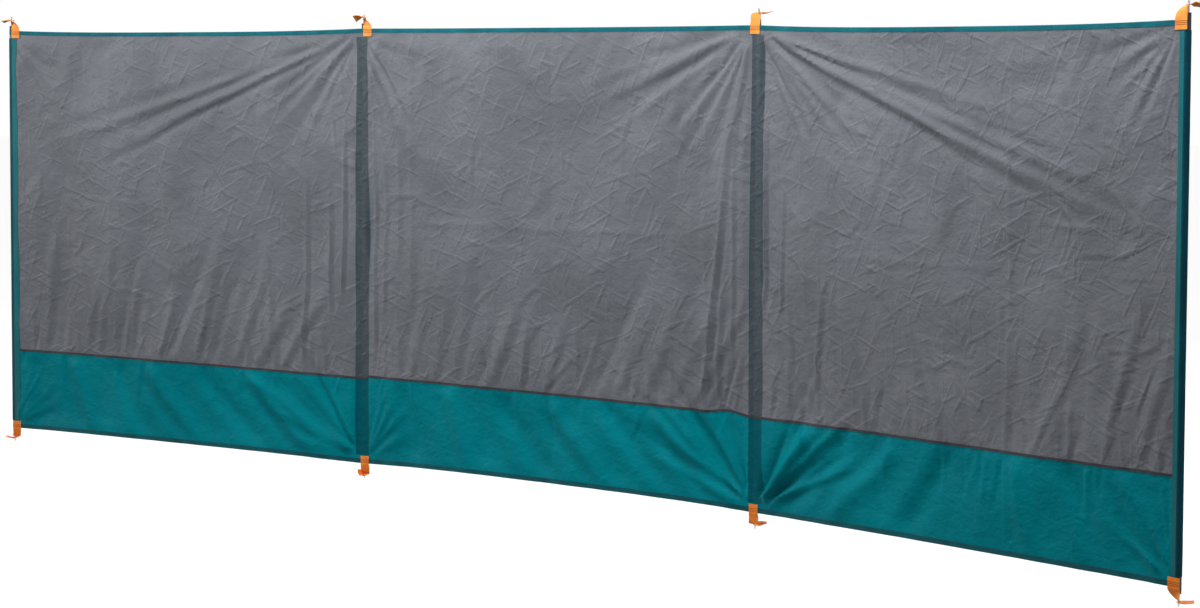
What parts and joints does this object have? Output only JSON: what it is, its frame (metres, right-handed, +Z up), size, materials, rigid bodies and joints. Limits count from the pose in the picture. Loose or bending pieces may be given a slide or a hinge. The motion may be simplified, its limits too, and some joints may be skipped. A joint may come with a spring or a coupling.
{
  "type": "beach windbreak",
  "caption": "Long low windbreak of taut two-tone fabric in bays between slim poles, with webbing tabs over a steel pin at both ends of each pole.",
  "frame": {"origin": "centre of the flat lower end of the second pole, at ground level; its spike goes below", "axes": "+Z up; +X along the middle bay, to the right as seen from the front; -Y is the front, towards which both outer bays turn a little"},
  "size_m": [4.6606, 0.3434, 1.39],
  "materials": {
    "grey_fabric": "thin plain-woven polyester, grey",
    "teal_fabric": "thin plain-woven polyester, teal",
    "binding": "folded teal binding tape, stitched",
    "hem": "dark teal double hem, stitched",
    "seam_tape": "narrow dark tape over the seam, stitched on both edges",
    "sleeve_fabric": "teal polyester sleeve",
    "pole": "black powder coat, satin",
    "pin": "bright zinc-plated steel",
    "webbing": "orange woven polypropylene webbing"
  },
  "bodies": {
    "root": {"left_upper_panel": "grey_fabric", "left_lower_band": "teal_fabric", "left_top_binding": "binding", "left_bottom_hem": "hem", "left_seam_tape": "seam_tape", "middle_upper_panel": "grey_fabric", "middle_lower_band": "teal_fabric", "middle_top_binding": "binding", "middle_bottom_hem": "hem", "middle_seam_tape": "seam_tape", "right_upper_panel": "grey_fabric", "right_lower_band": "teal_fabric", "right_top_binding": "binding", "right_bottom_hem": "hem", "right_seam_tape": "seam_tape", "left_end_sleeve": "sleeve_fabric", "left_middle_sleeve": "sleeve_fabric", "right_middle_sleeve": "sleeve_fabric", "right_end_sleeve": "sleeve_fabric", "pole_1": "pole", "top_pin_1": "pin", "ground_spike_1": "pin", "top_tab_1": "webbing", "bottom_tab_1": "webbing", "pole_2": "pole", "top_pin_2": "pin", "ground_spike_2": "pin", "top_tab_2": "webbing", "bottom_tab_2": "webbing", "pole_3": "pole", "top_pin_3": "pin", "ground_spike_3": "pin", "top_tab_3": "webbing", "bottom_tab_3": "webbing", "pole_4": "pole", "top_pin_4": "pin", "ground_spike_4": "pin", "top_tab_4": "webbing", "bottom_tab_4": "webbing"}
  },
  "joints": []
}
